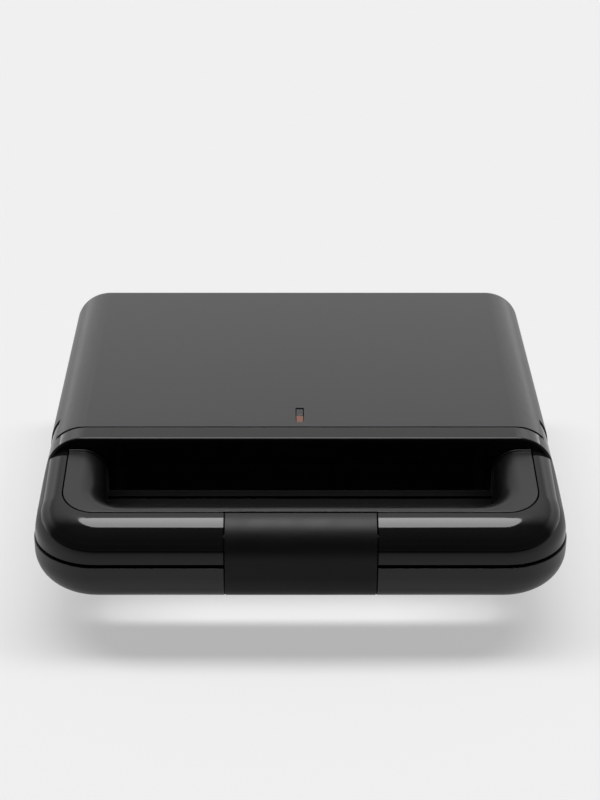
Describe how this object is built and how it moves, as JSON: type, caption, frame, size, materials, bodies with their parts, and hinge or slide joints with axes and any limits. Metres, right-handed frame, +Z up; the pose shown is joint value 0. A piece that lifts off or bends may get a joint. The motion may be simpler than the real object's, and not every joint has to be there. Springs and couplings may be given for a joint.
{
  "type": "donut maker",
  "caption": "Closed tabletop donut maker with a hinged lid, a wide latch on a loop handle, and heated plates with ring-shaped moulds.",
  "frame": {"origin": "on the table, under the middle of the overall box", "axes": "+Z up, +X to the right as seen from the front, front faces -Y"},
  "size_m": [0.238, 0.232, 0.0763],
  "materials": {
    "satin_cover": "satin dark grey",
    "gloss_black": "high gloss black",
    "matte_trim": "fine matte black",
    "matte_latch": "fine matte black",
    "satin_base": "satin black",
    "liner_plastic": "matte black, heat resistant",
    "coated_plate": "cast, dark non-stick coating",
    "element_sheath": "heat-tinted steel sheath",
    "reflector_sheet": "bright coated sheet",
    "screw_steel": "zinc plated",
    "pin_steel": "ground and blackened steel",
    "power_lens_plastic": "tinted, clear",
    "ready_lens_plastic": "smoke grey, clear",
    "lamp_glass": "neon lamp",
    "holder_plastic": "natural nylon",
    "thermostat_case": "pressed steel",
    "terminal_plastic": "natural nylon",
    "cord_plate_plastic": "matte black",
    "gland_rubber": "soft black rubber",
    "foot_rubber": "black rubber",
    "wire_sleeve": "silicone insulation"
  },
  "bodies": {
    "base": {"base_shell": "satin_base", "base_liner": "liner_plastic", "base_screws": "screw_steel", "lower_plate": "coated_plate", "lower_plate_screws": "screw_steel", "lower_element": "element_sheath", "lower_reflector": "reflector_sheet", "thermostat": "thermostat_case", "cord_plate": "cord_plate_plastic", "cord_plate_screws": "screw_steel", "cord_gland": "gland_rubber", "terminal_block": "terminal_plastic", "rubber_feet": "foot_rubber", "hinge_pins": "pin_steel", "base_wiring": "wire_sleeve"},
    "lid": {"lid_cover": "satin_cover", "lid_frame": "gloss_black", "handle_trim": "matte_trim", "lid_liner": "liner_plastic", "lid_screws": "screw_steel", "upper_plate": "coated_plate", "upper_plate_screws": "screw_steel", "upper_element": "element_sheath", "upper_reflector": "reflector_sheet", "thermal_fuse": "thermostat_case", "fuse_clip": "screw_steel", "power_lens": "power_lens_plastic", "ready_lens": "ready_lens_plastic", "lamp_holder": "holder_plastic", "indicator_lamps": "lamp_glass", "latch_pin": "pin_steel", "lid_wiring": "wire_sleeve"},
    "latch": {"latch": "matte_latch"}
  },
  "joints": [
    {"name": "lid_hinge", "type": "hinge", "parent": "base", "child": "lid", "pos_m": [0, 0.10995, 0.045], "axis": [-1, 0, 0], "range_deg": [0, 100]},
    {"name": "latch_pivot", "type": "hinge", "parent": "lid", "child": "latch", "pos_m": [0, -0.10795, 0.05477], "axis": [-1, 0, 0], "range_deg": [0, 35]}
  ]
}
